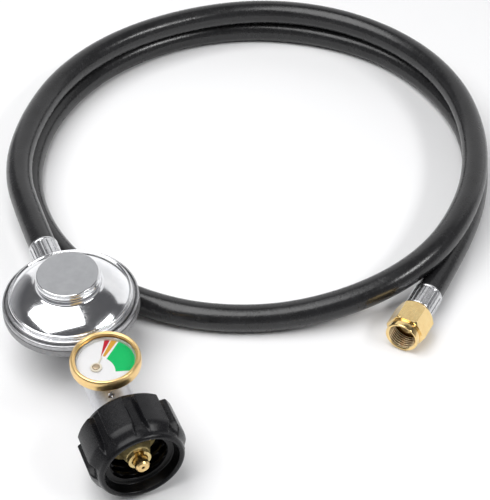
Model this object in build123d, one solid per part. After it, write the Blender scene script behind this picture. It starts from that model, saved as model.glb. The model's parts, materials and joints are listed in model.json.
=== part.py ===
from build123d import *
import math
import os

# Low-pressure propane regulator with a handwheel inlet, a gauge and a looped hose.
# Millimetres, +Z up, floor at z = 0. The inlet and outlet share one axis along +Y at x = 0:
# the handwheel's mouth faces -Y and the hose leaves towards +Y. The origin is under the
# middle of the regulator, between the handwheel's mouth and the outlet ferrule's lip.

# ---------------------------------------------------------------- driving dimensions
RUN_LENGTH = 160.5       # handwheel mouth to outlet ferrule lip
DISC_AT = 107.8          # stations along the axis, from the handwheel's mouth
GAUGE_AT = 49.4
STEM_FROM = 29.2
STEM_TO = 64.0
OUTLET_FACE = 144.5

HOSE_R = 7.5
HOSE_BORE_R = 4.75
FERRULE_R = 8.2
FERRULE_FLUTES = 18
HOSE_HIDDEN = 14.0       # hose held inside each ferrule

NUT_LENGTH = 28.5
NUT_MOUTH_R = 18.8
NUT_THREAD_R = 14.15     # crest radius of the 1-5/16 in Acme thread
NUT_PAD_R = 24.2
NUT_PADS = 8
NUT_PAD_START = 17.0     # degrees from +X towards +Z
NUT_PAD_WIDTH = 34.0
AXIS_Z = NUT_PAD_R       # height of the inlet and outlet axis: a pad rests on the floor
SHANK_R = 8.6
RUNNING_GAP = 0.05

BOWL_LOW = 13.5          # the body's flat underside
RIM_R = 35.3             # outer radius of the body's rim
RIM_LOW = 29.0
RIM_TOP = 33.0
SEAT_Z = 31.0            # ledge that the diaphragm's bead lies on
STUB_R = 8.6
DOME_R = 30.2
DOME_Z = 39.4
TOWER_BORE_R = 12.6
CAP_R = 16.1
CAP_LOW = 51.3            # top of the spring tower, which the cap closes
CAP_TOP = 52.8

BEZEL_R = 17.2
CASE_R = 15.6
PIVOT = (-5.4, -1.8)     # needle pivot from the gauge's centre
NEEDLE_ANGLE = 49.0      # degrees from +X towards +Y, at rest
NEEDLE_LENGTH = 7.0
ARBOR_R = 0.8

SLIDER_R = 2.6
VALVE_AT = DISC_AT - 21.0
PIN_Y = -17.0            # lever pin, from the disc's centre
PIN_Z = AXIS_Z - 4.5
PIN_R = 0.8

FLAT_HALF = 9.525        # half of the swivel nut's 3/4 in across flats
FLARE_THREAD_R = 7.2     # crest radius of the 5/8-18 thread

# ---------------------------------------------------------------- the hose's route
# Out of the outlet, once round on top of the lower turn, down to the floor past the end
# fitting, under the regulator's rim, and once round on the floor to the end fitting.
ROUTE = [
    (0, 66.25, AXIS_Z), (0, 106, AXIS_Z), (4, 150, 22.9), (24, 190, 22.9), (57, 228, 22.9),
    (103, 251.5, 22.9), (155, 257, 22.9), (204, 247, 22.9), (245, 219, 22.9),
    (272, 177, 22.9), (281, 128, 22.9), (270, 79, 22.9), (246, 36, 22.9), (211, 3, 22.9),
    (178, -12, 20), (142, -13, 13), (103, -4.5, 7.5), (64, 13, 7.5), (34, 41, 7.5),
    (12, 80, 7.5), (6, 126, 7.5), (15, 170, 7.5), (43, 215, 7.5), (88, 248, 7.5),
    (142, 261.5, 7.5), (196, 252.5, 7.5), (241, 224, 7.5), (271, 184, 7.5),
    (282, 134, 7.5), (276, 85, 7.5), (250, 39, 7.5), (212.5, 0.6, 9.525),
    (173.4, -30.3, 9.525),
]
ARC_SHARE = 0.45         # of the shorter run beside a corner that its arc takes

# ---------------------------------------------------------------- places
MOUTH_Y = -RUN_LENGTH / 2
INLET = Plane(origin=(0, MOUTH_Y, AXIS_Z), x_dir=(1, 0, 0), z_dir=(0, 1, 0))
DISC_Y = MOUTH_Y + DISC_AT
DISC = Plane(origin=(0, DISC_Y, 0))
GAUGE = Plane(origin=(0, MOUTH_Y + GAUGE_AT, 0))
END_AXIS = (Vector(*ROUTE[-2]) - Vector(*ROUTE[-1])).normalized()
END_FERRULE_FROM = 21.0
END_FERRULE_TO = 36.2
END_MOUTH = Vector(*ROUTE[-1]) - END_AXIS * (END_FERRULE_TO - HOSE_HIDDEN)
END = Plane(origin=END_MOUTH, x_dir=Vector(0, 0, 1).cross(END_AXIS), z_dir=END_AXIS)


# ---------------------------------------------------------------- helpers
def outline_face(*steps):
    """Closed face from corners; a pair of points is an arc's middle and its end."""
    edges = []
    here = steps[0]
    for step in steps[1:] + (steps[0],):
        if isinstance(step[0], tuple):
            edges.append(ThreePointArc(here, *step))
            here = step[1]
        else:
            edges.append(Line(here, step))
            here = step
    return make_face(edges)


def lathe(place, *steps):
    """Turn an outline of (radius, height) about the place's z axis."""
    return place * revolve(Plane.XZ * outline_face(*steps), Axis.Z)


def rod(place, radius, low, high):
    """Solid cylinder between two heights along the place's z axis."""
    return lathe(place, (0, low), (radius, low), (radius, high), (0, high))


def tube(place, inner, outer, low, high):
    """Hollow cylinder between two heights along the place's z axis."""
    return lathe(place, (inner, low), (outer, low), (outer, high), (inner, high))


def block(place, x_span, y_span, z_span):
    """Box between two corners given in the place's own axes."""
    size = [b - a for a, b in (x_span, y_span, z_span)]
    middle = [(a + b) / 2 for a, b in (x_span, y_span, z_span)]
    return place * (Pos(*middle) * Box(*size))


def hex_prism(place, flat_half, low, high):
    """Hexagonal prism with its flats square to the place's y axis."""
    outline = RegularPolygon(flat_half / math.cos(math.radians(30)), 6)
    return place * (Pos(0, 0, low) * extrude(outline, high - low))


def coil(place, wire_r, mean_r, low, high, turns):
    """Round-wire spring between two heights along the place's z axis."""
    rise = high - low - 2 * wire_r
    path = Pos(0, 0, low + wire_r) * Helix(rise / turns, rise, mean_r)
    section = Plane(origin=path @ 0, z_dir=path % 0) * Circle(wire_r)
    return place * sweep(section, path, is_frenet=True)


def ferrule(place, low, high, lip_high):
    """Fluted crimp sleeve with a rolled lip at the hose's side."""
    neck, lip = (low, high) if lip_high else (high, low)
    inward = 1 if lip_high else -1
    sleeve = lathe(place, (4.8, neck), (FERRULE_R - 0.5, neck), (FERRULE_R, neck + 0.6 * inward),
                   (FERRULE_R, lip), (HOSE_R, lip), (HOSE_R, neck + 0.8 * inward),
                   (4.8, neck + 0.8 * inward))
    groove = Pos(FERRULE_R + 0.75, 0, 0) * Cylinder(1.1, abs(high - low) - 1.4)
    centre = (low + high) / 2 - 0.7 * inward
    for n in range(FERRULE_FLUTES):
        sleeve -= place * (Pos(0, 0, centre) * Rot(0, 0, n * 360 / FERRULE_FLUTES) * groove)
    return sleeve


# ---------------------------------------------------------------- handwheel and nipple
def qcc_nut():
    """Black handwheel nut: tapered shell, raised grip pads and the threaded mouth."""
    shell = lathe(INLET, (NUT_MOUTH_R, 0), (20.4, 0), (21.3, 1.2), (22.0, 6), (21.2, 26),
                  (20.0, NUT_LENGTH), (SHANK_R + RUNNING_GAP, NUT_LENGTH),
                  (SHANK_R + RUNNING_GAP, 21.5), (NUT_THREAD_R, 21.5), (NUT_THREAD_R, 7.0),
                  (17.2, 5.4), (18.2, 0.6))
    half = math.radians(NUT_PAD_WIDTH / 2)
    rim = [(NUT_PAD_R * math.cos(a), NUT_PAD_R * math.sin(a)) for a in (-half, 0, half)]
    foot = [(19 * math.cos(a), 19 * math.sin(a)) for a in (half, -half)]
    pad = Pos(0, 0, 4.5) * extrude(outline_face(foot[1], rim[0], (rim[1], rim[2]), foot[0]), 20.5)
    for n in range(NUT_PADS):
        angle = -(NUT_PAD_START + n * 360 / NUT_PADS)
        shell += INLET * (Rot(0, 0, angle) * pad)
    return shell


def thermal_bushing():
    return tube(INLET, SHANK_R, 12.2, 19.0, 21.2)


def qcc_nipple():
    """Brass nipple: cone nose with a cross slot, a collar that holds the nut, a thread."""
    turned = lathe(INLET, (4.0, 4.8), (5.6, 4.8), (5.6, 7.0), (6.0, 7.4), (7.9, 12.4),
                   (8.2, 12.9), (8.2, 16.3), (12.2, 16.3), (12.2, 19.0), (SHANK_R, 19.0),
                   (SHANK_R, STEM_FROM), (6.4, STEM_FROM), (6.4, 41.0), (2.2, 41.0),
                   (2.2, 31.5), (4.0, 31.5))
    return turned - block(INLET, (-2.2, 2.2), (-8, 8), (4, 7.0))


def nipple_probe():
    return lathe(INLET, (0.8, 0), (2.9, 0), (3.5, 0.8), (3.5, 8.0), (4.0, 8.0), (4.0, 11.4),
                 (2.2, 11.4), (2.2, 2.5), (0.8, 2.5))


def flow_poppet():
    """Excess-flow poppet: guide disc with three gas grooves, a neck and a cone."""
    poppet = lathe(INLET, (0, 14), (3.92, 14), (3.92, 17), (2.2, 17), (2.2, 28.6), (0, 30.6))
    groove = Pos(4.3, 0, 15.5) * Cylinder(1.2, 5)
    for n in range(3):
        poppet -= INLET * (Rot(0, 0, n * 120) * groove)
    return poppet


def poppet_spring():
    return coil(INLET, 0.35, 3.1, 17.05, 31.45, 7)


# ---------------------------------------------------------------- inlet stem
def inlet_stem():
    """Cast stem between the handwheel and the body, with the gauge's port on top."""
    stem = lathe(INLET, (6.4, STEM_FROM), (9.9, STEM_FROM), (10.5, STEM_FROM + 0.6),
                 (10.5, STEM_TO - 0.6), (9.9, STEM_TO), (6.2, STEM_TO), (6.2, 73.0),
                 (3.0, 73.0), (3.0, 41.0), (6.4, 41.0))
    stem -= block(GAUGE, (-11, 11), (-7.2, 7.2), (34.0, 36.0))
    stem -= rod(GAUGE, 4.8, AXIS_Z, 36)
    return stem - rod(STEM_PLUG, 1.6, 31.4, 36)


STEM_PLUG = Plane(origin=(-1.9, MOUTH_Y + 38.8, 0))


def stem_plug():
    """Small socket screw that seals the drilled port beside the gauge."""
    return rod(STEM_PLUG, 1.6, 31.4, 33.6) - hex_prism(STEM_PLUG, 0.8, 32.2, 34)


# ---------------------------------------------------------------- pressure gauge
def gauge_case():
    """Cup with a sloping back, a ledge for the bridge and the dial, and the gas stem."""
    return lathe(GAUGE, (1.0, 28.0), (4.8, 28.0), (4.8, 34.0), (6.2, 34.0), (6.2, 38.2),
                 (10.2, 38.2), (14.0, 42.2), (CASE_R, 44.8), (CASE_R, 47.8), (14.8, 47.8),
                 (14.8, 46.0), (14.1, 46.0), (14.1, 43.4), (13.0, 43.4), (9.6, 39.4),
                 (1.0, 39.4))


def gauge_bezel():
    return lathe(GAUGE, (CASE_R, 45.0), (16.9, 45.0), (BEZEL_R, 45.4), (BEZEL_R, 49.2),
                 ((16.8, 50.4), (15.9, 50.8)), (15.3, 50.7), (14.4, 49.9), (14.4, 49.4),
                 (CASE_R, 49.4))


def gauge_lens():
    return rod(GAUGE, 15.5, 48.0, 49.4)


def lens_spacer():
    return tube(GAUGE, 14.0, 14.8, 46.5, 48.0)


def gauge_dial():
    return rod(GAUGE, 14.7, 46.0, 46.5) - rod(NEEDLE_PIVOT, 1.1, 45, 47)


NEEDLE_PIVOT = GAUGE * Pos(PIVOT[0], PIVOT[1], 0)
COIL_TURN = math.degrees(math.atan2(-PIVOT[1], -PIVOT[0]))
COIL_REACH = math.hypot(*PIVOT)
COIL_Z = 42.0


def gauge_needle():
    """Pointer with a round hub that sits under the arbor's head."""
    pointer = outline_face((0, -0.55), (NEEDLE_LENGTH, -0.2), (NEEDLE_LENGTH, 0.2), (0, 0.55))
    blade = Pos(0, 0, 46.9) * Rot(0, 0, NEEDLE_ANGLE) * extrude(pointer, 0.3)
    return tube(NEEDLE_PIVOT, ARBOR_R, 2.8, 46.9, 47.3) + (NEEDLE_PIVOT * blade
                                                         - rod(NEEDLE_PIVOT, 1.5, 46, 48))


def needle_arbor():
    return lathe(NEEDLE_PIVOT, (0, 39.8), (ARBOR_R, 39.8), (ARBOR_R, 41.2), (1.2, 41.2),
                 (1.2, 42.6), (ARBOR_R, 42.6), (ARBOR_R, 47.3), (1.85, 47.3),
                 (1.85, 47.5), (1.5, 47.7), (0, 47.7))


def arbor_bridge():
    """Strip that lies on the case's ledge at both ends, with the arbor's bearing hole."""
    strip = block(NEEDLE_PIVOT, (-2, 2), (-20, 20), (43.4, 44.2)) & rod(GAUGE, 14.1, 43, 45)
    return strip - rod(NEEDLE_PIVOT, ARBOR_R + RUNNING_GAP, 43, 45)


def bourdon_socket():
    return rod(GAUGE, 1.6, 39.4, 43.0) - rod(GAUGE, 0.6, 39, 42.2)


def bourdon_coil():
    """Spiral pressure tube of half circles, from the arbor's collar out to its socket."""
    halves = 6
    step = (COIL_REACH - 1.0) / halves
    ends = [(1.0 + n * step) * (-1) ** n for n in range(halves + 1)]
    arcs = []
    for n in range(halves):
        middle = (ends[n] + ends[n + 1]) / 2
        radius = abs(ends[n] - ends[n + 1]) / 2
        arcs.append(ThreePointArc((ends[n], 0, COIL_Z), (middle, radius * (-1) ** n, COIL_Z),
                                  (ends[n + 1], 0, COIL_Z)))
    path = Wire(arcs)
    section = Plane(origin=path @ 0, z_dir=path % 0) * Circle(0.45)
    spiral = NEEDLE_PIVOT * (Rot(0, 0, COIL_TURN) * sweep(section, path))
    return spiral - rod(GAUGE, 1.6, 40, 44) - rod(NEEDLE_PIVOT, 1.2, 40, 44)


# ---------------------------------------------------------------- regulator body
def regulator_body():
    """Lower casting: bowl, rim, inlet and outlet stubs, valve guide and lever posts."""
    bowl = lathe(DISC, (0, BOWL_LOW), (18, BOWL_LOW), ((25.3, 20.2), (30.4, 26.2)),
                 (31.2, 28.2), (RIM_R - 0.4, RIM_LOW), (RIM_R, RIM_LOW + 0.4),
                 (RIM_R, RIM_TOP), (0, RIM_TOP))
    body = bowl + rod(INLET, STUB_R, STEM_TO, OUTLET_FACE)
    body -= rod(DISC, 34.5, SEAT_Z, RIM_TOP + 1)
    body -= lathe(DISC, (0, BOWL_LOW + 2), (16.8, BOWL_LOW + 2), ((23.4, 21.8), (27.4, 26.8)),
                  (28.0, SEAT_Z), (28.0, SEAT_Z + 1), (0, SEAT_Z + 1))
    body += valve_guide() & bowl
    body -= rod(INLET, 6.2, 63, 73.2)
    body -= rod(INLET, 4.0, 73, VALVE_AT - 1.2)
    body -= rod(INLET, SLIDER_R + RUNNING_GAP, VALVE_AT - 1.3, 95)
    body -= rod(INLET, 4.0, DISC_AT + 20, 134)
    return body - rod(INLET, 5.5, 133, OUTLET_FACE + 1)


def valve_guide():
    """Saddle that guides the valve slider from above, and the two lever posts below it."""
    guide = rod(INLET, 5.2, 79, 94.3)
    guide -= block(DISC, (-6, 6), (-22.8, -13), (15, AXIS_Z - 1.2))
    for side in (-1, 1):
        span = sorted((3.4 * side, 6.0 * side))
        guide += block(DISC, span, (PIN_Y - 2, PIN_Y + 2), (BOWL_LOW + 1, PIN_Z + 1.5))
    return guide - rod(LEVER_PIVOT, PIN_R, -8, 8)


LEVER_PIVOT = Plane(origin=(0, DISC_Y + PIN_Y, PIN_Z), x_dir=(0, 1, 0), z_dir=(1, 0, 0))


def inlet_orifice():
    return lathe(INLET, (1.1, 75.2), (4.0, 75.2), (4.0, VALVE_AT - 2.2), (3.0, VALVE_AT - 2.2),
                 (1.9, VALVE_AT - 1.3), (1.1, VALVE_AT - 1.3))


def valve_slider():
    """Slider that carries the rubber pad, with a slot for the lever's finger."""
    slider = rod(INLET, SLIDER_R, VALVE_AT, VALVE_AT + 7.2)
    slider -= rod(INLET, 2.1, VALVE_AT - 1, VALVE_AT + 1)
    slot = block(DISC, (-1.5, 1.5), (PIN_Y - 1.2, PIN_Y + 1.2), (20, AXIS_Z + 1.3))
    return slider - slot


def valve_pad():
    return rod(INLET, 2.1, VALVE_AT - 0.4, VALVE_AT + 1)


def valve_lever():
    """Bell crank: long arm to the diaphragm's stem, short finger up into the slider."""
    tip = Plane(origin=(0, DISC_Y + PIN_Y, AXIS_Z), z_dir=(1, 0, 0))
    lever = rod(LEVER_PIVOT, 1.6, -2.5, 2.5)
    lever += block(DISC, (-1.3, 1.3), (PIN_Y, 1.5), (PIN_Z - 0.5, PIN_Z + 0.5))
    lever += block(DISC, (-1.2, 1.2), (PIN_Y - 0.5, PIN_Y + 0.5), (PIN_Z, AXIS_Z))
    lever += rod(tip, 0.9, -1.2, 1.2)
    return lever - rod(LEVER_PIVOT, PIN_R + RUNNING_GAP, -4, 4)


def lever_pin():
    return rod(LEVER_PIVOT, PIN_R, -6.0, 6.0)


# ---------------------------------------------------------------- diaphragm and spring
def diaphragm():
    return lathe(DISC, (2.5, 31.2), (18.6, 31.2), ((22.2, 33.2), (25.8, 31.2)), (28.0, 31.0),
                 (34.4, 31.0), (34.4, 32.2), (27.2, 32.2), (26.6, 32.0),
                 ((22.2, 34.2), (17.8, 32.0)), (2.5, 32.0))


def diaphragm_plate():
    return lathe(DISC, (2.5, 32.0), (17.4, 32.0), (17.4, 33.8), (16.6, 33.8), (16.6, 33.0),
                 (2.5, 33.0))


def diaphragm_stem():
    """Stem with a collar under the diaphragm and a window for the lever's end."""
    stem = lathe(DISC, (0, 17.2), (2.5, 17.2), (2.5, 30.0), (6.0, 30.0), (6.0, 31.2),
                 (2.5, 31.2), (2.5, 36.4), (0, 36.4))
    return stem - block(DISC, (-1.7, 1.7), (-3, 3), (PIN_Z - 1.3, PIN_Z + 1.1))


def stem_nut():
    return hex_prism(DISC, 4.0, 33.0, 35.4) - rod(DISC, 2.5, 32, 36)


def main_spring():
    return coil(DISC, 0.9, 9.6, 33.05, 47.15, 4)


def spring_adjuster():
    """Threaded spring seat with a hexagonal socket, set at the factory."""
    seat = rod(DISC, TOWER_BORE_R - 0.05, 47.2, CAP_LOW - 1.6)
    return seat - hex_prism(DISC, 5.0, 46, 52)


def regulator_cover():
    """Chromed cover: stepped edge, shallow dome and the threaded spring tower."""
    cover = lathe(DISC, (30.6, 32.2), (34.4, 32.2), (34.4, 33.6), (33.1, 33.6), (33.1, 36.4),
                  (32.6, 37.0), (31.9, 37.2), (31.6, 37.5), (31.6, 39.0), (31.2, 39.5),
                  (30.7, 39.5), (30.45, 39.1), (DOME_R, DOME_Z), ((24.4, 43.3), (17.8, 45.55)),
                  ((16.9, 46.1), (16.5, 47.2)), (16.5, 48.5), (16.7, 48.8), (16.7, 49.5),
                  (16.4, 49.8), (CAP_R, CAP_LOW), (TOWER_BORE_R, CAP_LOW), (TOWER_BORE_R, 44.6),
                  (15.6, 44.4), ((23.6, 41.7), (29.2, 37.9)), (30.6, 36.0))
    return cover - rod(VENT, 1.6, 38, 48)


VENT = Plane(origin=(9.2, DISC_Y + 21.6, 0))


def vent_screen():
    return rod(VENT, 1.6, 42.3, 42.8)


def clamp_ring():
    return lathe(DISC, (33.1, 33.6), (34.5, 33.6), (34.5, 33.0), (35.0, 33.0), (35.0, 35.2),
                 ((34.8, 35.7), (34.3, 35.9)), (33.1, 35.9))


def closing_cap():
    lid = lathe(DISC, (0, CAP_LOW), (CAP_R, CAP_LOW), (CAP_R, CAP_TOP - 0.3),
                (CAP_R - 0.3, CAP_TOP), (0, CAP_TOP))
    return lid + tube(DISC, 11.2, TOWER_BORE_R - 0.05, CAP_LOW - 1.4, CAP_LOW)


# ---------------------------------------------------------------- outlet and hose
def barb(place, start, step):
    """Ribbed hose spigot that starts at one height and runs the way that step points."""
    ribs = [(4.1, start)]
    for n in range(4):
        ribs += [(HOSE_BORE_R, start + step * (n * 3.2 + 0.6)), (4.1, start + step * (n * 3.2 + 3.2))]
    far = start + step * 13.2
    return lathe(place, (3.0, start), *ribs, (4.1, far), (3.0, far))


def outlet_barb():
    fixed = tube(INLET, 3.0, 5.5, 133.2, OUTLET_FACE) + tube(INLET, 3.0, 7.4, OUTLET_FACE, 145.4)
    return fixed + barb(INLET, 145.4, 1)


def outlet_ferrule():
    return ferrule(INLET, 145.4, RUN_LENGTH, True)


def corner_radii(points):
    """Arc radius for each corner, as large as its two runs allow."""
    radii = []
    for before, here, after in zip(points, points[1:], points[2:]):
        run_in = Vector(*here) - Vector(*before)
        run_out = Vector(*after) - Vector(*here)
        half_turn = math.radians(run_in.get_angle(run_out)) / 2
        radii.append(ARC_SHARE * min(run_in.length, run_out.length) / math.tan(half_turn))
    return radii


def hose():
    """Rubber hose along its route, bored at both ends for the barbs."""
    radii = corner_radii(ROUTE)
    print("hose radii:", [round(r) for r in radii])
    path = FilletPolyline(*ROUTE, radius=radii)
    section = Plane(origin=path @ 0, z_dir=path % 0) * Circle(HOSE_R)
    body = sweep(section, path)
    expected = math.pi * HOSE_R ** 2 * path.length
    print("hose length:", round(path.length, 1), "volume over section times length:",
          round(body.volume / expected, 4))
    body -= rod(INLET, HOSE_BORE_R, 140, RUN_LENGTH - 0.5)
    return body - rod(END, HOSE_BORE_R, 17, END_FERRULE_TO - 0.5)


# ---------------------------------------------------------------- end fitting
def end_ferrule():
    return ferrule(END, END_FERRULE_FROM, END_FERRULE_TO, True)


def flare_stem():
    """Brass stem with a flared seat inside the swivel nut, and the hose barb."""
    seat = lathe(END, (3.0, 12.4), (5.6, 9.8), (7.0, 9.8), (7.0, 13.0), (5.35, 13.0),
                 (5.35, 19.8), (7.4, 19.8), (7.4, 21.0), (3.0, 21.0))
    return seat + barb(END, END_FERRULE_FROM, 1)


def swivel_nut():
    """Hexagonal flare nut with a turned collar at its mouth."""
    envelope = lathe(END, (0, 4.8), (10.2, 4.8), (11.0, 5.7), (11.0, 17.6), (9.2, 19.5),
                     (0, 19.5))
    nut = hex_prism(END, FLAT_HALF, 4, 20) & envelope
    nut += lathe(END, (0, 0), (8.8, 0), (9.2, 0.5), (9.2, 3.5), (8.7, 3.9), (8.7, 4.8), (0, 4.8))
    return nut - lathe(END, (0, -1), (8.6, -1), (8.2, 0), (FLARE_THREAD_R, 1.0),
                       (FLARE_THREAD_R, 8.8), (8.1, 8.8), (8.1, 13.4), (5.4, 13.4),
                       (5.4, 21), (0, 21))


# ---------------------------------------------------------------- write every node
NODES = [
    qcc_nut, thermal_bushing, qcc_nipple, nipple_probe, flow_poppet, poppet_spring,
    inlet_stem, stem_plug, gauge_case, gauge_bezel, gauge_lens, lens_spacer, gauge_dial,
    gauge_needle, needle_arbor, arbor_bridge, bourdon_socket, bourdon_coil,
    regulator_body, inlet_orifice, valve_slider, valve_pad, valve_lever, lever_pin,
    diaphragm, diaphragm_plate, diaphragm_stem, stem_nut, main_spring, spring_adjuster,
    regulator_cover, vent_screen, clamp_ring, closing_cap, outlet_barb, outlet_ferrule,
    hose, end_ferrule, flare_stem, swivel_nut,
]

os.makedirs("parts", exist_ok=True)
for make in NODES:
    export_step(make(), f"parts/{make.__name__}.step")
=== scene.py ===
import json
import math

import bmesh
import bpy
from mathutils import Matrix, Vector


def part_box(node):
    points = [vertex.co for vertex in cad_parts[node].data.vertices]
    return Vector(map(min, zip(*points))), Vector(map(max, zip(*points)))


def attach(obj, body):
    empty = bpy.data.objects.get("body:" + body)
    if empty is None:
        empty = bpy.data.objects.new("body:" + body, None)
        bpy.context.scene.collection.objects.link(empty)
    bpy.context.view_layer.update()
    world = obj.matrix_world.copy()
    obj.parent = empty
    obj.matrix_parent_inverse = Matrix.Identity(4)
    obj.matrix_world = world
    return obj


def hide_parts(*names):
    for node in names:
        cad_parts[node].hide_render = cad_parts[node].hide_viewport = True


# The looks of a propane regulator with a handwheel inlet, a gauge and a looped hose.
# Each piece is made in its place's own axes, in millimetres: z runs along the piece's axis.
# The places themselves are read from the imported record's mounts and joints.

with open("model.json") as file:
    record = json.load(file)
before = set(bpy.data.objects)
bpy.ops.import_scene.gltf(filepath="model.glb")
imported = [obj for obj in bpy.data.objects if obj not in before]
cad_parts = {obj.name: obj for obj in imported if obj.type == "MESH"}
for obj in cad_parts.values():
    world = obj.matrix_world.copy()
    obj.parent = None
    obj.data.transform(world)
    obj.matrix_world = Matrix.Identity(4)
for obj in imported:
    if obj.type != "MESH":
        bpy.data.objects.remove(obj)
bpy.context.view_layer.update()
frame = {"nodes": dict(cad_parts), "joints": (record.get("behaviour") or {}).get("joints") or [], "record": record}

# ---------------------------------------------------------------- sizes, in millimetres
HOSE_R = 7.5
FERRULE_R = 8.2
FERRULE_FLUTES = 18
FLUTE_DEPTH = 0.34
MOUTH_R = 18.8           # handwheel's mouth
WHEEL_INSIDE_R = 18.5    # nearer the axis than this is inside the handwheel
ACME_CREST_R = 14.15     # 1-5/16 in Acme thread inside it
ACME_ROOT_R = 16.67
ACME_PITCH = 5.08
ACME_FROM = 5.5          # depths from the mouth
ACME_TO = 21.5
PAD_R = 24.2
PADS = 8
FIRST_PAD = 17.0         # degrees above the handwheel's x axis
PAD_HALF = 17.4          # degrees
PAD_NARROWING = 2.6      # degrees that a pad's side loses towards the mouth
PAD_SIDE = 2.6           # degrees over which a pad's side rises
GROOVE_SCOOP = 0.7       # extra depth between the pads
AXIS_Z = PAD_R           # inlet and outlet axis: a pad rests on the floor
DIAL_R = 14.7
DIAL_FACE = 46.5         # height above the floor
PIVOT = (-5.4, -1.8)     # the needle's pivot, from the gauge's centre
NEEDLE_REST = 49         # degrees above the dial's x axis
FLAT_HALF = 9.525        # half of the swivel nut's 3/4 in across flats
UNF_CREST_R = 7.2        # flare nut's 5/8-18 thread
UNF_ROOT_R = 7.94
UNF_PITCH = 25.4 / 18
COLLAR_R = 9.0           # nut's collar, at its mouth
UNF_FROM = 0.6           # depths from the nut's mouth
UNF_TO = 8.8
CAP_LOW = 51.3           # closing cap, heights above the floor
CAP_TOP = 52.8
CAP_FACE_R = 15.5
PIVOT_DEPTH = 9.0        # swivel nut's joint, from its mouth

# The hose's route, the same points as the CAD tube's, in millimetres.
ROUTE = [
    (0, 66.25, AXIS_Z), (0, 106, AXIS_Z), (4, 150, 22.9), (24, 190, 22.9), (57, 228, 22.9),
    (103, 251.5, 22.9), (155, 257, 22.9), (204, 247, 22.9), (245, 219, 22.9),
    (272, 177, 22.9), (281, 128, 22.9), (270, 79, 22.9), (246, 36, 22.9), (211, 3, 22.9),
    (178, -12, 20), (142, -13, 13), (103, -4.5, 7.5), (64, 13, 7.5), (34, 41, 7.5),
    (12, 80, 7.5), (6, 126, 7.5), (15, 170, 7.5), (43, 215, 7.5), (88, 248, 7.5),
    (142, 261.5, 7.5), (196, 252.5, 7.5), (241, 224, 7.5), (271, 184, 7.5),
    (282, 134, 7.5), (276, 85, 7.5), (250, 39, 7.5), (212.5, 0.6, 9.525),
    (173.4, -30.3, 9.525),
]


# ---------------------------------------------------------------- places
def place(origin, x_dir, z_dir):
    """Matrix from a place's own axes, in millimetres, to the row frame, in metres."""
    x, z = Vector(x_dir).normalized(), Vector(z_dir).normalized()
    turn = Matrix((x, z.cross(x), z)).transposed().to_4x4()
    return Matrix.Translation(origin) @ turn @ Matrix.Scale(0.001, 4)


def named(rows, name):
    """The row with this name."""
    return next(row for row in rows if row["name"] == name)


mounts = frame["record"]["mounts"]
swivel = named(frame["joints"], "swivel_nut_spin")
end_axis = -Vector(swivel["axis"])
needle_at = Vector(named(frame["joints"], "gauge_needle_turn")["pos_m"])
INLET = place(named(mounts, "qcc_inlet")["pos_m"], (1, 0, 0), (0, 1, 0))
rim_low, rim_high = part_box("regulator_cover")
DISC = place((0, (rim_low.y + rim_high.y) / 2, 0), (1, 0, 0), (0, 0, 1))
NEEDLE = place((needle_at.x, needle_at.y, 0), (1, 0, 0), (0, 0, 1))
GAUGE = NEEDLE @ Matrix.Translation((-PIVOT[0], -PIVOT[1], 0))
END = place(Vector(swivel["pos_m"]) - end_axis * PIVOT_DEPTH / 1000,
            Vector((0, 0, 1)).cross(end_axis), end_axis)


# ---------------------------------------------------------------- camera, light, floor
def link(name, data):
    """New object in the scene."""
    obj = bpy.data.objects.new(name, data)
    bpy.context.scene.collection.objects.link(obj)
    return obj


def make_camera():
    """Looks down on the object at 44 degrees, from in front and a little to the left."""
    lens = bpy.data.cameras.new("camera")
    lens.lens = 93.6
    lens.sensor_width = 36
    lens.clip_start = 0.02
    camera = link("camera", lens)
    camera.location = (-0.0996, -0.4341, 0.517)
    camera.rotation_euler = (math.radians(46), 0, math.radians(-23.1))
    bpy.context.scene.camera = camera


def area_light(name, at, towards, size, glow):
    """Soft rectangular lamp at one point that faces another, from its surface brightness."""
    lamp = bpy.data.lights.new(name, "AREA")
    lamp.shape = "RECTANGLE"
    lamp.size, lamp.size_y = size
    lamp.energy = glow * math.pi * size[0] * size[1]
    obj = link(name, lamp)
    obj.location = at
    obj.rotation_euler = (Vector(towards) - Vector(at)).to_track_quat("-Z", "Y").to_euler()


def make_world():
    """Dim studio walls that darken overhead, so that polished metal shows contrast."""
    world = bpy.data.worlds.new("studio")
    bpy.context.scene.world = world
    world.use_nodes = True
    nodes, links = world.node_tree.nodes, world.node_tree.links
    where = nodes.new("ShaderNodeTexCoord")
    split = nodes.new("ShaderNodeSeparateXYZ")
    ramp = nodes.new("ShaderNodeValToRGB")
    ramp.color_ramp.elements[0].position = 0.1
    ramp.color_ramp.elements[0].color = (0.38, 0.38, 0.39, 1)
    ramp.color_ramp.elements[1].position = 0.5
    ramp.color_ramp.elements[1].color = (0.10, 0.10, 0.105, 1)
    links.new(where.outputs["Generated"], split.inputs[0])
    links.new(split.outputs["Z"], ramp.inputs["Fac"])
    links.new(ramp.outputs["Color"], nodes["Background"].inputs["Color"])
    nodes["Background"].inputs["Strength"].default_value = 1.0


def make_floor(material):
    mesh = bpy.data.meshes.new("floor")
    half = 4
    corners = [(-half, -half, 0), (half, -half, 0), (half, half, 0), (-half, half, 0)]
    mesh.from_pydata(corners, [], [(0, 1, 2, 3)])
    floor = link("floor", mesh)
    mesh.materials.append(material)


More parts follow.
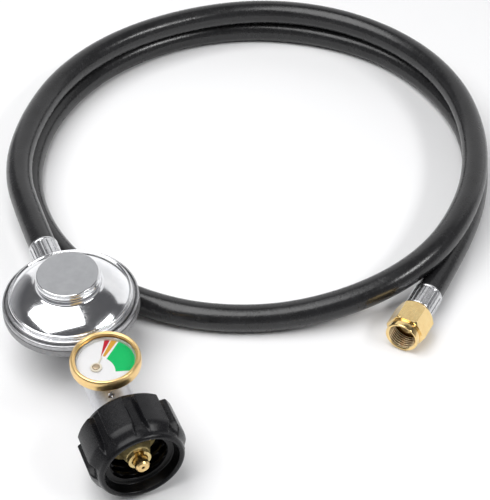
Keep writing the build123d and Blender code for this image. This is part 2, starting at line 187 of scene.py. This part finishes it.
# ---------------------------------------------------------------- materials
class Surface:
    """A Principled material whose colour, roughness and relief come from noise."""

    def __init__(self, name, colour, metallic=0.0, roughness=0.4, unit=1.0, **constants):
        self.material = bpy.data.materials.new(name)
        self.material.use_nodes = True
        self.tree = self.material.node_tree
        self.shader = self.tree.nodes["Principled BSDF"]
        self.colour = colour
        self.unit = unit      # millimetres in one of the mesh's own units
        self.normal = None    # output of the last bump, for the next one
        self.set("Base Color", (*colour, 1))
        self.set("Metallic", metallic)
        self.set("Roughness", roughness)
        for socket, value in constants.items():
            self.set(socket.replace("_", " "), value)

    def set(self, socket, value):
        self.shader.inputs[socket].default_value = value

    def node(self, kind, **inputs):
        made = self.tree.nodes.new(kind)
        for socket, value in inputs.items():
            made.inputs[socket.replace("_", " ")].default_value = value
        return made

    def link(self, source, target):
        self.tree.links.new(source, target)

    def coordinates(self, stretch=(1, 1, 1)):
        """The piece's own coordinates in millimetres, stretched along each axis."""
        where = self.node("ShaderNodeTexCoord")
        scaled = self.node("ShaderNodeMapping")
        scaled.inputs["Scale"].default_value = [s * self.unit for s in stretch]
        self.link(where.outputs["Object"], scaled.inputs["Vector"])
        return scaled.outputs["Vector"]

    def noise(self, scale, detail=4.0, stretch=(1, 1, 1)):
        texture = self.node("ShaderNodeTexNoise", Scale=scale, Detail=detail, Roughness=0.55)
        self.link(self.coordinates(stretch), texture.inputs["Vector"])
        return texture.outputs["Fac"]

    def mapped(self, value, low, high):
        """A noise value, which mostly lies between 0.3 and 0.7, brought into a range."""
        spread = self.node("ShaderNodeMapRange", From_Min=0.3, From_Max=0.7,
                           To_Min=low, To_Max=high)
        self.link(value, spread.inputs["Value"])
        return spread.outputs["Result"]

    def tint(self, other, value):
        """Colour that varies between the material's own and another."""
        mix = self.node("ShaderNodeMix")
        mix.data_type = "RGBA"
        first, second = [s for s in mix.inputs if s.type == "RGBA"]
        first.default_value = (*self.colour, 1)
        second.default_value = (*other, 1)
        self.link(value, mix.inputs["Factor"])
        result = next(s for s in mix.outputs if s.type == "RGBA")
        self.link(result, self.shader.inputs["Base Color"])
        return self

    def rough(self, value, low, high):
        self.link(self.mapped(value, low, high), self.shader.inputs["Roughness"])
        return self

    def relief(self, value, depth):
        """Bump from a noise value, with its depth in the scene's metres."""
        bump = self.node("ShaderNodeBump", Strength=1.0, Distance=depth)
        self.link(value, bump.inputs["Height"])
        if self.normal is not None:
            self.link(self.normal, bump.inputs["Normal"])
        self.normal = bump.outputs["Normal"]
        self.link(self.normal, self.shader.inputs["Normal"])
        return self


def black_plastic():
    """Moulded black nylon: fine spark texture, slightly paler in places."""
    s = Surface("black_nylon", (0.005, 0.005, 0.006), roughness=0.3, Specular_IOR_Level=0.22)
    s.tint((0.010, 0.010, 0.011), s.mapped(s.noise(0.25), 0, 1))
    s.rough(s.noise(1.8), 0.20, 0.32)
    return s.relief(s.noise(9.0, detail=2), 0.00002).material


def shaded_inner_plastic():
    """The same nylon inside the mouth, darker as painted shade in the recess."""
    s = Surface("black_nylon_inside_painted_shade", (0.002, 0.002, 0.0022), Specular_IOR_Level=0.2)
    s.rough(s.noise(1.8), 0.18, 0.28)
    return s.relief(s.noise(9.0, detail=2), 0.00002).material


def brass(name, colour=(0.86, 0.64, 0.30), other=(0.70, 0.47, 0.20), unit=1.0,
          roughness=(0.13, 0.26)):
    """Turned brass: fine rings along the piece's axis and a slight stain."""
    s = Surface(name, colour, metallic=1.0, unit=unit)
    s.tint(other, s.mapped(s.noise(0.35), 0, 0.8))
    s.rough(s.noise(2.2), *roughness)
    return s.relief(s.noise(1.0, detail=3, stretch=(0.6, 0.6, 14)), 0.000006).material


def chrome(unit=1.0):
    """Polished chrome plating with the faint waviness of pressed sheet."""
    s = Surface("chrome", (0.90, 0.90, 0.91), metallic=1.0, unit=unit)
    s.tint((0.80, 0.81, 0.83), s.mapped(s.noise(0.12), 0, 1))
    s.rough(s.noise(0.8), 0.08, 0.15)
    return s.relief(s.noise(0.11, detail=1), 0.00009).material


def plated_steel(name="plated_steel", unit=1.0):
    """Bright zinc plate, drawn lengthwise."""
    s = Surface(name, (0.78, 0.78, 0.79), metallic=1.0, unit=unit)
    s.tint((0.52, 0.53, 0.55), s.mapped(s.noise(0.5), 0, 0.8))
    s.rough(s.noise(1.6, stretch=(4, 4, 0.4)), 0.14, 0.30)
    return s.relief(s.noise(2.0, stretch=(5, 5, 0.3)), 0.000015).material


def ring_metal():
    """Duller plate of the crimped ring."""
    s = Surface("ring_plate", (0.46, 0.46, 0.47), metallic=1.0)
    s.tint((0.36, 0.36, 0.37), s.mapped(s.noise(0.4), 0, 1))
    s.rough(s.noise(1.6), 0.24, 0.36)
    return s.relief(s.noise(2.0, stretch=(0.5, 0.5, 5)), 0.00001).material


def cast_metal(name, colour, roughness, metallic, unit=1000.0):
    """Blasted or satin metal with a fine grain."""
    s = Surface(name, colour, metallic=metallic, unit=unit)
    s.tint(tuple(c * 0.8 for c in colour), s.mapped(s.noise(0.6), 0, 1))
    s.rough(s.noise(2.5), *roughness)
    return s.relief(s.noise(5.0, detail=6), 0.00004).material


def cap_grey(unit=1.0):
    """Matt grey lacquer with a very fine grain."""
    s = Surface("matt_lacquer", (0.27, 0.275, 0.285), metallic=0.25, roughness=0.6, unit=unit)
    s.tint((0.31, 0.315, 0.325), s.mapped(s.noise(0.2), 0, 1))
    s.rough(s.noise(3.0), 0.52, 0.66)
    return s.relief(s.noise(14.0, detail=2), 0.00002).material


def hose_rubber():
    """Extruded rubber cover: dark with a soft sheen, faint mottling and an uneven surface."""
    s = Surface("hose_rubber", (0.010, 0.010, 0.0105), roughness=0.2, unit=1000.0)
    s.tint((0.017, 0.017, 0.018), s.mapped(s.noise(0.08), 0, 1))
    s.rough(s.noise(0.25, detail=6), 0.19, 0.30)
    s.relief(s.noise(0.7, detail=1), 0.00005)
    return s.relief(s.noise(4.0, detail=3), 0.00001).material


def seal_rubber():
    """Dull black rubber of the seals."""
    s = Surface("seal_rubber", (0.02, 0.02, 0.02), roughness=0.6, unit=1000.0)
    s.tint((0.035, 0.035, 0.035), s.mapped(s.noise(0.5), 0, 1))
    return s.relief(s.noise(6.0), 0.00004).material


def moulded(name, colour, roughness=0.5):
    """Plain moulded plastic with a slight variation."""
    s = Surface(name, colour, roughness=roughness, unit=1000.0)
    s.tint(tuple(c * 0.85 for c in colour), s.mapped(s.noise(0.4), 0, 1))
    s.rough(s.noise(2.0), roughness - 0.08, roughness + 0.1)
    return s.relief(s.noise(8.0), 0.00003).material


def printed(name, colour):
    """Print or enamel on the dial, with the faintest mottle."""
    s = Surface(name, colour, roughness=0.6, Specular_IOR_Level=0.12)
    s.tint(tuple(min(1, c * 1.06 + 0.004) for c in colour), s.mapped(s.noise(1.5), 0, 1))
    return s.relief(s.noise(12.0), 0.000006).material


def clear_lens():
    """Thin clear lens: mostly see-through, with a gloss of its own."""
    s = Surface("clear_lens", (0.12, 0.12, 0.13), roughness=0.04, Alpha=0.03, IOR=1.5)
    return s.relief(s.noise(0.15, detail=1), 0.00002).material


def pale_floor():
    """Plain pale studio sheet."""
    s = Surface("studio_sheet", (0.86, 0.86, 0.865), roughness=0.85, unit=1000.0)
    s.tint((0.85, 0.85, 0.855), s.mapped(s.noise(0.004), 0, 1))
    return s.material


# ---------------------------------------------------------------- mesh building
def smooth(t):
    """Eased step: 0 below 0, 1 above 1."""
    t = max(0.0, min(1.0, t))
    return t * t * (3 - 2 * t)


def band(height, low, rise, high, fall):
    """1 between two heights, eased in over the rise above low and out over the fall to high."""
    return smooth((height - low) / rise) * smooth((high - height) / fall)


def eased(outline, radius):
    """The outline with its corners rounded; points on the axis stay as they are."""
    steps = 4
    points = []
    for n, corner in enumerate(outline):
        here = Vector(corner)
        into = Vector(outline[n - 1]) - here
        out = Vector(outline[(n + 1) % len(outline)]) - here
        turn = math.pi - into.angle(out, math.pi)
        if here.x < 1e-6 or turn < math.radians(12):
            points.append(here)
            continue
        cut = min(radius, 0.45 * into.length, 0.45 * out.length)
        start, end = here + into.normalized() * cut, here + out.normalized() * cut
        for k in range(steps + 1):
            t = k / steps
            points.append(start * (1 - t) ** 2 + here * (2 * t * (1 - t)) + end * t * t)
    return points


def dense(points, step, crest=0.0, beyond=0.0):
    """The closed outline with runs divided: those on a thread's crest or beyond a radius."""
    result = []
    for here, after in zip(points, points[1:] + points[:1]):
        on_crest = abs(here.x - crest) + abs(after.x - crest) < 0.02
        divided = on_crest or min(here.x, after.x) > beyond
        parts = max(1, math.ceil((after - here).length / step)) if divided else 1
        result += [here.lerp(after, k / parts) for k in range(parts)]
    return result


def arc(start, middle, end, steps):
    """Points of the arc through three points, both ends included."""
    a, b, c = Vector(start), Vector(middle), Vector(end)
    d = 2 * (a.x * (b.y - c.y) + b.x * (c.y - a.y) + c.x * (a.y - b.y))
    sq = [p.x ** 2 + p.y ** 2 for p in (a, b, c)]
    centre = Vector(((sq[0] * (b.y - c.y) + sq[1] * (c.y - a.y) + sq[2] * (a.y - b.y)) / d,
                     (sq[0] * (c.x - b.x) + sq[1] * (a.x - c.x) + sq[2] * (b.x - a.x)) / d))
    radius = (a - centre).length
    first, last = (math.atan2(*(p - centre).yx) for p in (a, c))
    sweep = (last - first + math.pi) % (2 * math.pi) - math.pi
    angles = [first + sweep * k / steps for k in range(steps + 1)]
    return [(centre.x + radius * math.cos(t), centre.y + radius * math.sin(t)) for t in angles]


def turned(outline, segments, shape=None):
    """Vertices and faces of a closed outline turned about z; shape moves each point."""
    count = len(outline)
    vertices = []
    for k in range(segments):
        angle = 2 * math.pi * k / segments
        for radius, height in outline:
            if shape is not None:
                radius, height = shape(radius, height, angle)
            vertices.append((radius * math.cos(angle), radius * math.sin(angle), height))
    faces = []
    for k in range(segments):
        here, after = k * count, (k + 1) % segments * count
        for n in range(count):
            m = (n + 1) % count
            faces.append((here + n, after + n, after + m, here + m))
    return vertices, faces


def piece(name, at, body, materials, parts, replaces=(), sharp=38, paint=None):
    """One object from meshes in its place's millimetres, riding on a CAD body.

    Edges that turn by more than sharp degrees stay sharp; paint picks a face's material.
    """
    mesh = bpy.data.meshes.new(name)
    build = bmesh.new()
    for vertices, faces in parts:
        made = [build.verts.new(v) for v in vertices]
        for face in faces:
            build.faces.new([made[i] for i in face])
    bmesh.ops.remove_doubles(build, verts=build.verts, dist=1e-4)
    bmesh.ops.recalc_face_normals(build, faces=build.faces)
    for face in build.faces:
        face.smooth = True
        face.material_index = paint(face) if paint else 0
    build.to_mesh(mesh)
    build.free()
    mesh.set_sharp_from_angle(angle=math.radians(sharp))
    for material in materials:
        mesh.materials.append(material)
    obj = link(name, mesh)
    obj.matrix_world = at
    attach(obj, body)
    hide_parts(*replaces)


# ---------------------------------------------------------------- hose
def make_hose(material):
    """The whole hose as one smooth curve on the route's points."""
    curve = bpy.data.curves.new("rubber_hose", "CURVE")
    curve.dimensions = "3D"
    curve.bevel_depth = HOSE_R / 1000
    curve.bevel_resolution = 10
    curve.resolution_u = 16
    curve.use_fill_caps = True
    spline = curve.splines.new("NURBS")
    spline.points.add(len(ROUTE) - 1)
    for point, (x, y, z) in zip(spline.points, ROUTE):
        point.co = (x / 1000, y / 1000, z / 1000, 1)
    spline.order_u = 3
    spline.use_endpoint_u = True
    curve.materials.append(material)
    hose = link("rubber_hose", curve)
    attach(hose, "regulator")
    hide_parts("hose")
    return hose


# ---------------------------------------------------------------- handwheel
def acme(radius, height, angle):
    """Right-hand Acme thread: flat crests and roots with steep flanks."""
    crest_half, flank = 0.185, 0.13      # shares of the pitch
    turn = (height / ACME_PITCH - angle / (2 * math.pi)) % 1.0
    share = smooth((abs(turn - 0.5) - crest_half) / flank)
    fade = band(height, low=ACME_FROM, rise=0.3, high=ACME_TO - 0.2, fall=0.8)
    return radius + (ACME_ROOT_R - ACME_CREST_R) * share * fade


def handwheel_shape(radius, height, angle):
    """Pads with narrow grooves between them on the outside, thread on the inside."""
    if radius > WHEEL_INSIDE_R:
        step = 360 / PADS
        across = (math.degrees(angle) + FIRST_PAD + step / 2) % step - step / 2
        half = PAD_HALF - PAD_NARROWING * smooth((10.5 - height) / 7.5)
        side = smooth((half - abs(across)) / PAD_SIDE)
        along = band(height, low=1.8, rise=6.5, high=26.2, fall=1.6)
        between = band(height, low=3.0, rise=5.0, high=26.6, fall=2.0)
        scoop = GROOVE_SCOOP * (1 - side) * between
        radius += max(0.0, PAD_R - radius) * side * along - scoop
    elif abs(radius - ACME_CREST_R) < 0.02 and height < ACME_TO - 0.1:
        radius = acme(radius, height, angle)
    return radius, height


def make_handwheel(material, inside):
    """Handwheel with a plain lead-in and the thread inside its mouth, where the nylon is darker as painted shade.
    """
    outline = [(MOUTH_R, 0.35), (19.1, 0), (20.3, 0), (21.2, 1.2), (21.9, 5.6), (21.3, 25.6),
               (20.2, 28.3), (19.6, 28.5), (8.65, 28.5), (8.65, ACME_TO),
               (ACME_CREST_R, ACME_TO), (ACME_CREST_R, ACME_FROM + 0.2),
               (17.2, ACME_FROM - 0.1), (18.3, 0.8)]
    rings = dense(eased(outline, 0.5), 0.36, crest=ACME_CREST_R, beyond=20.0)

    # Faces inside the mouth take the darker nylon, as painted shade in the recess.
    def paint(face):
        middle = face.calc_center_median()
        within = 0.7 < middle.z < ACME_TO + 0.1 and middle.xy.length < WHEEL_INSIDE_R
        return 1 if within else 0

    piece("handwheel", INLET, "qcc_nut", [material, inside],
          [turned(rings, 480, handwheel_shape)], ["qcc_nut"], sharp=50, paint=paint)


# ---------------------------------------------------------------- gauge
def make_bezel(material):
    """Rolled brass bezel with a stepped inner lip."""
    outline = [(15.6, 45.0), (16.6, 45.0), (17.05, 45.3), (17.2, 45.7), (17.2, 48.5),
               (17.05, 49.2), (16.75, 50.1), (16.35, 50.6), (15.95, 50.8), (15.5, 50.75),
               (15.25, 50.45), (15.1, 50.45), (14.9, 50.3), (14.55, 49.75), (14.4, 49.45),
               (15.6, 49.45)]
    piece("gauge_bezel_ring", GAUGE, "regulator", [material],
          [turned(eased(outline, 0.25), 256)], ["gauge_bezel"])


def make_lens(material):
    """Slightly domed lens."""
    dome = arc((0, 49.55), (7.5, 49.47), (14.4, 49.3), 16)
    outline = [(0, 48.0), (15.4, 48.0), (15.4, 49.2)] + dome[::-1]
    piece("gauge_lens_dome", GAUGE, "regulator", [material],
          [turned(outline, 160)], ["gauge_lens"])


def about_pivot(radius, degrees):
    """Point of the dial at a radius and an angle about the needle's pivot."""
    angle = math.radians(degrees)
    return PIVOT[0] + radius * math.cos(angle), PIVOT[1] + radius * math.sin(angle)


def to_edge(degrees, edge):
    """Where a ray from the needle's pivot meets a circle about the gauge's centre."""
    along = Vector((math.cos(math.radians(degrees)), math.sin(math.radians(degrees))))
    start = Vector(PIVOT)
    middle = -start.dot(along)
    reach = middle + math.sqrt(middle ** 2 - start.length_squared + edge ** 2)
    return tuple(start + along * reach)


def printed_patch(points, low, high):
    """Thin flat patch between two heights."""
    count = len(points)
    vertices = [(x, y, low) for x, y in points] + [(x, y, high) for x, y in points]
    faces = [tuple(range(count))[::-1], tuple(range(count, 2 * count))]
    faces += [(n, (n + 1) % count, count + (n + 1) % count, count + n) for n in range(count)]
    return vertices, faces


def zone(name, inner, outer, material):
    """Coloured zone on the dial, from its inner points and its outer points."""
    patch = printed_patch(inner + outer, DIAL_FACE - 0.02, DIAL_FACE + 0.03)
    piece(name, GAUGE, "regulator", [material], [patch])


def make_dial(white, red, amber, green):
    """White dial plate with its three pressure zones."""
    back = DIAL_FACE - 0.5
    plate = turned([(0, back), (DIAL_R, back), (DIAL_R, DIAL_FACE), (0, DIAL_FACE)], 160)
    piece("dial_plate", GAUGE, "regulator", [white], [plate], ["gauge_dial"])

    def outer(first, step, count):
        """Points of a zone's outer edge, by their angles about the pivot."""
        return [to_edge(first - k * step, DIAL_R - 0.5) for k in range(count)]

    zone("dial_zone_low", [about_pivot(7.0, 54)], outer(59, 1.4, 7)[::-1], red)
    amber_inner = [about_pivot(8.0, 40 + k * 3) for k in range(4)]
    zone("dial_zone_middle", amber_inner, outer(49, 1.5, 7), amber)
    green_inner = arc((2.4, -7.4), (2.75, -2.4), (1.0, 1.8), 12)
    zone("dial_zone_full", green_inner, outer(37.5, 3.1, 22), green)


def make_needle(material, head):
    """Thin pointer with its round hub and the brass head of the arbor."""
    length, half, tip = 7.0, 0.42, 0.16
    turn = Matrix.Rotation(math.radians(NEEDLE_REST), 4, "Z")
    corners = [(0, -half), (length, -tip), (length, tip), (0, half)]
    flat = [tuple((turn @ Vector((x, y, 0))).xy) for x, y in corners]
    hub = turned(eased([(0.82, 46.9), (2.8, 46.9), (2.8, 47.3), (0.82, 47.3)], 0.12), 96)
    piece("needle_pointer", NEEDLE, "needle", [material],
          [printed_patch(flat, 46.95, 47.15), hub], ["gauge_needle"])
    knob = turned(eased([(0, 39.8), (0.8, 39.8), (0.8, 47.3), (1.85, 47.3), (1.85, 47.55),
                         (1.5, 47.8), (0, 47.85)], 0.12), 64)
    piece("needle_head", NEEDLE, "needle", [head], [knob], ["needle_arbor"])


# ---------------------------------------------------------------- regulator
def make_cover(material, edge):
    """Cover: duller stepped edge, shallow chromed dome and the spring tower."""
    dome = arc((30.2, 39.35), (24.4, 43.25), (17.9, 45.45), 40)
    outer = [(30.6, 32.2), (34.4, 32.2), (34.4, 33.6), (33.1, 33.6), (33.1, 36.2),
             (32.7, 36.9), (32.0, 37.1), (31.3, 37.15), (31.2, 37.5), (31.6, 37.9),
             (31.6, 38.9), (31.25, 39.45), (30.75, 39.5), (30.4, 39.05)]
    tower = [(17.0, 45.95), (16.6, 46.5), (16.5, 47.2), (16.5, 48.4), (16.75, 48.7),
             (16.75, 49.5), (16.4, 49.8), (16.15, 50.5), (16.1, CAP_LOW), (12.6, CAP_LOW),
             (12.6, 44.6), (15.6, 44.4), (23.6, 41.7), (29.2, 37.9), (30.6, 36.0)]
    rings = eased(outer + dome + tower, 0.25)
    edge_top, edge_r = 37.3, 31.9

    def paint(face):
        middle = face.calc_center_median()
        return 1 if middle.z < edge_top and middle.xy.length > edge_r else 0

    piece("cover_dome", DISC, "regulator", [material, edge],
          [turned(rings, 288)], ["regulator_cover"], paint=paint)


def make_clamp_ring(material):
    """Ring crimped over the cover's edge, a hair clear of the cover's wall."""
    outline = [(33.15, 33.6), (34.5, 33.6), (34.5, 33.05), (35.0, 33.05), (35.0, 35.0),
               (34.9, 35.5), (34.6, 35.8), (34.3, 35.9), (33.95, 35.8), (33.8, 35.4),
               (33.75, 34.6), (33.15, 34.6)]
    piece("crimped_ring", DISC, "regulator", [material],
          [turned(eased(outline, 0.25), 288)], ["clamp_ring"])


def make_cap(lacquer, edge):
    """Closing cap: matt face inside a bright rim."""
    face_at = CAP_TOP - 0.04
    lid = [(0, CAP_LOW), (16.0, CAP_LOW), (16.1, 51.5), (16.1, 52.3), (15.9, 52.65),
           (15.6, CAP_TOP), (15.35, face_at), (0, face_at)]
    skirt = [(11.2, 49.9), (12.55, 49.9), (12.55, CAP_LOW), (11.2, CAP_LOW)]

    def paint(face):
        middle = face.calc_center_median()
        return 0 if middle.z > CAP_TOP - 0.1 and middle.xy.length < CAP_FACE_R else 1

    piece("cap_lid", DISC, "regulator", [lacquer, edge],
          [turned(eased(lid, 0.12), 256), turned(skirt, 128)], ["closing_cap"],
          sharp=30, paint=paint)


# ---------------------------------------------------------------- ferrules
def fluted(low, high):
    """Shape of a crimp sleeve: pressed flutes that fade before the rolled lip."""
    ridge_half, side = 0.28, 0.16        # shares of the flutes' spacing

    def shape(radius, height, angle):
        if radius < FERRULE_R - 0.6:
            return radius, height
        wave = abs((angle * FERRULE_FLUTES / (2 * math.pi)) % 1.0 - 0.5)
        dip = smooth((wave - ridge_half) / side)
        held = band(height, low=low + 0.3, rise=0.7, high=high - 1.3, fall=0.9)
        return radius - FLUTE_DEPTH * dip * held, height

    return shape


def ferrule_outline(neck, lip):
    """Sleeve section from its neck to its rolled lip."""
    outline = [(4.8, neck), (7.6, neck), (FERRULE_R - 0.1, neck + 0.5),
               (FERRULE_R - 0.1, lip - 1.7), (FERRULE_R - 0.22, lip - 1.4),
               (FERRULE_R, lip - 1.05), (FERRULE_R, lip - 0.3), (FERRULE_R - 0.15, lip),
               (HOSE_R + 0.05, lip), (HOSE_R, lip - 0.5), (HOSE_R, neck + 0.8),
               (4.8, neck + 0.8)]
    return dense(eased(outline, 0.3), 0.4)


def make_ferrule(name, at, neck, lip, node, material):
    """Crimp sleeve between two heights, with its lip round the hose."""
    sleeve = turned(ferrule_outline(neck, lip), 336, fluted(neck, lip))
    piece(name, at, "regulator", [material], [sleeve], [node])


# ---------------------------------------------------------------- swivel nut
def unf(height, angle):
    """Right-hand 60 degree thread, as a share of its depth."""
    flat, flanks = 0.12, 0.76            # shares of the pitch
    turn = (height / UNF_PITCH - angle / (2 * math.pi)) % 1.0
    return max(0.0, min(1.0, (abs(turn - 0.5) * 2 - flat) / flanks))


def swivel_nut_shape(radius, height, angle):
    """Hexagon outside, thread inside."""
    if radius > COLLAR_R + 0.3:
        flat = math.radians(math.degrees(angle) % 60 - 30)
        radius = min(radius, FLAT_HALF / math.cos(flat))
    elif abs(radius - UNF_CREST_R) < 0.02:
        depth = (UNF_ROOT_R - UNF_CREST_R) * unf(height, angle)
        radius += depth * band(height, low=UNF_FROM, rise=0.3, high=UNF_TO - 0.1, fall=0.4)
    return radius, height


def make_swivel_nut(material, painted_root_shade, satin):
    """Flare nut with bright flats, a collar at its mouth, a paler satin brass on the thread's crests as a painted
    highlight and a dark brass in its roots as painted shade.
    """
    outline = [(8.0, 0.1), (8.2, 0), (8.7, 0), (COLLAR_R, 0.35), (COLLAR_R, 3.4), (8.85, 3.65),
               (8.7, 4.0), (8.7, 4.7), (9.4, 4.8), (10.1, 4.85), (10.95, 5.65), (11.0, 5.8),
               (11.0, 17.5), (9.6, 19.1), (9.2, 19.4), (8.9, 19.5), (5.4, 19.5), (5.4, 13.4),
               (8.1, 13.4), (8.1, UNF_TO), (UNF_CREST_R, UNF_TO), (UNF_CREST_R, UNF_FROM + 0.1)]
    rings = dense(eased(outline, 0.18), 0.16, crest=UNF_CREST_R, beyond=COLLAR_R + 0.1)

    def paint(face):
        middle = face.calc_center_median()
        if not UNF_FROM < middle.z < UNF_TO or middle.xy.length > UNF_ROOT_R + 0.11:
            return 0
        # Roots take the dark brass as painted shade; crests take the paler satin brass as a painted highlight.
        return 1 if middle.xy.length > UNF_CREST_R + 0.3 else 2

    piece("flare_nut", END, "swivel_nut", [material, painted_root_shade, satin],
          [turned(rings, 360, swivel_nut_shape)], ["swivel_nut"], sharp=28, paint=paint)


# ---------------------------------------------------------------- build
make_camera()
hose = make_hose(hose_rubber())
make_world()
area_light("softbox", at=(-0.42, 0.10, 1.04), towards=(-0.42, 0.10, 0), size=(1.12, 1.02),
           glow=4.4)
area_light("far_card", at=(1.02, 1.30, 0.92), towards=(0, 0.0, 0.92), size=(3.6, 1.84), glow=0.8)
area_light("small_box", at=(0.78, -0.67, 1.0), towards=(0.13, 0.1, 0), size=(0.6, 0.22), glow=16.0)
bpy.context.scene.view_settings.view_transform = "Standard"
make_floor(pale_floor())

polished = chrome()
plate = plated_steel()
# The handwheel's second material is the darker nylon: painted shade inside its mouth.
make_handwheel(black_plastic(), shaded_inner_plastic())
make_bezel(brass("bezel_brass", (0.88, 0.64, 0.28), (0.84, 0.56, 0.27), roughness=(0.26, 0.36)))
make_lens(clear_lens())
make_dial(printed("dial_white", (0.68, 0.68, 0.69)), printed("dial_red", (0.42, 0.010, 0.025)),
          printed("dial_amber", (0.55, 0.29, 0.035)), printed("dial_green", (0.0, 0.41, 0.105)))
make_needle(printed("needle_enamel", (0.64, 0.60, 0.50)),
            brass("knob_brass", (0.52, 0.42, 0.30), (0.42, 0.33, 0.23), roughness=(0.4, 0.5)))
dull = ring_metal()
make_cover(polished, dull)
make_clamp_ring(dull)
make_cap(cap_grey(), polished)
make_ferrule("outlet_sleeve", INLET, neck=145.4, lip=160.5, node="outlet_ferrule", material=plate)
make_ferrule("end_sleeve", END, neck=21.0, lip=36.2, node="end_ferrule", material=plate)
# The nut's second brass is painted shade for the thread's roots; the third, paler and less metallic, is a painted
# highlight on its crests.
make_swivel_nut(brass("nut_brass", (0.92, 0.70, 0.34), (0.86, 0.61, 0.27), roughness=(0.1, 0.2)),
                brass("root_brass_painted_shade", (0.24, 0.12, 0.05), (0.16, 0.08, 0.03)),
                cast_metal("crest_brass_painted_highlight", (0.98, 0.80, 0.50), (0.30, 0.40), 0.6, unit=1.0))

SLOT_MATERIALS = {
    "brass": brass("brass_part", unit=1000.0, roughness=(0.24, 0.36)),
    "case_metal": brass("case_brass", (0.80, 0.62, 0.34), unit=1000.0),
    "needle_brass": brass("needle_brass", unit=1000.0),
    "bourdon_bronze": brass("bronze", (0.72, 0.46, 0.26), (0.6, 0.36, 0.2), unit=1000.0),
    "white_metal": cast_metal("blasted_zinc", (0.72, 0.73, 0.76), (0.28, 0.42), 0.4),
    "body_metal": cast_metal("body_zinc", (0.30, 0.30, 0.305), (0.36, 0.5), 0.8),
    "steel": plated_steel("steel_part", unit=1000.0),
    "chrome": chrome(unit=1000.0),
    "rubber_seal": seal_rubber(),
    "thermal_plastic": moulded("bushing_plastic", (0.05, 0.05, 0.055)),
    "acetal": moulded("acetal", (0.75, 0.74, 0.70), 0.35),
    "adjuster_plastic": moulded("adjuster_plastic", (0.55, 0.06, 0.04)),
    "cap_plastic": cap_grey(unit=1000.0),
}
NODE_MATERIALS = {
    "qcc_nipple": cast_metal("satin_brass", (0.92, 0.74, 0.34), (0.36, 0.48), 0.6),
}
for row in frame["record"]["subparts"]:
    node = frame["nodes"][row["node"]]
    if not node.hide_render:
        material = NODE_MATERIALS.get(row["node"], SLOT_MATERIALS[row["material_slot"]])
        node.data.materials.clear()
        node.data.materials.append(material)
